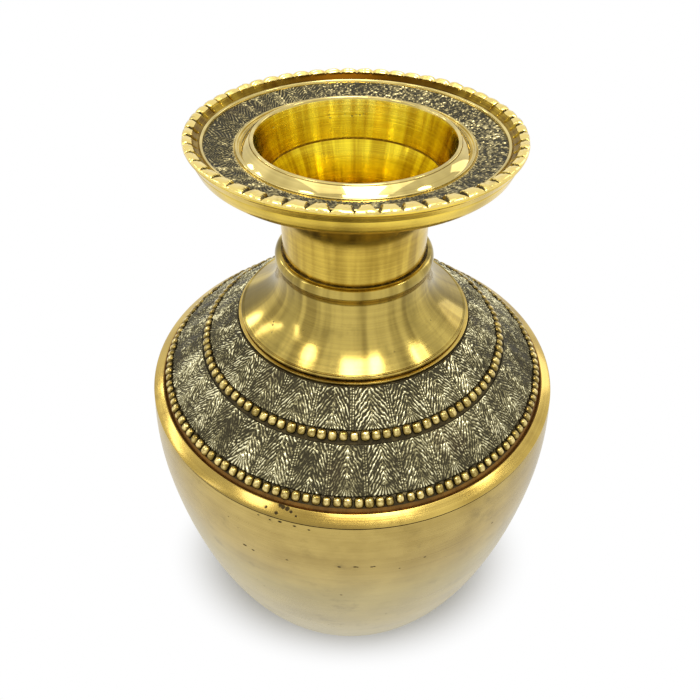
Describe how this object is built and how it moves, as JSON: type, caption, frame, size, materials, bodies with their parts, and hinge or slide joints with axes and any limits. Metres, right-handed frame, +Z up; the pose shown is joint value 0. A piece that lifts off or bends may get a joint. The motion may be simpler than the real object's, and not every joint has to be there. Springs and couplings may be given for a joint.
{
  "type": "water pot",
  "caption": "Brass ritual water pot: deep bowl, cast shoulder with beaded rings and leaf bands, flared collar, short neck and a dish-shaped mouth with a notched rim.",
  "frame": {"origin": "centre of the base ring, on the surface that the pot stands on", "axes": "+Z up along the pot's axis, from the base to the mouth; the pot is round, so +X and +Y are any two square directions"},
  "size_m": [0.1236, 0.1236, 0.187],
  "materials": {
    "satin_brass": "brushed",
    "antiqued_brass": "darkened in the recesses, polished on the crests",
    "polished_brass": "polished",
    "dish_brass": "polished, with a darkened textured floor",
    "filler_metal": "dull"
  },
  "bodies": {
    "root": {"bowl": "satin_brass", "waist_braze": "filler_metal", "shoulder": "antiqued_brass", "collar_braze": "filler_metal", "collar": "polished_brass", "neck_braze": "filler_metal", "neck_tube": "polished_brass", "mouth_braze": "filler_metal", "mouth_dish": "dish_brass"}
  },
  "joints": []
}
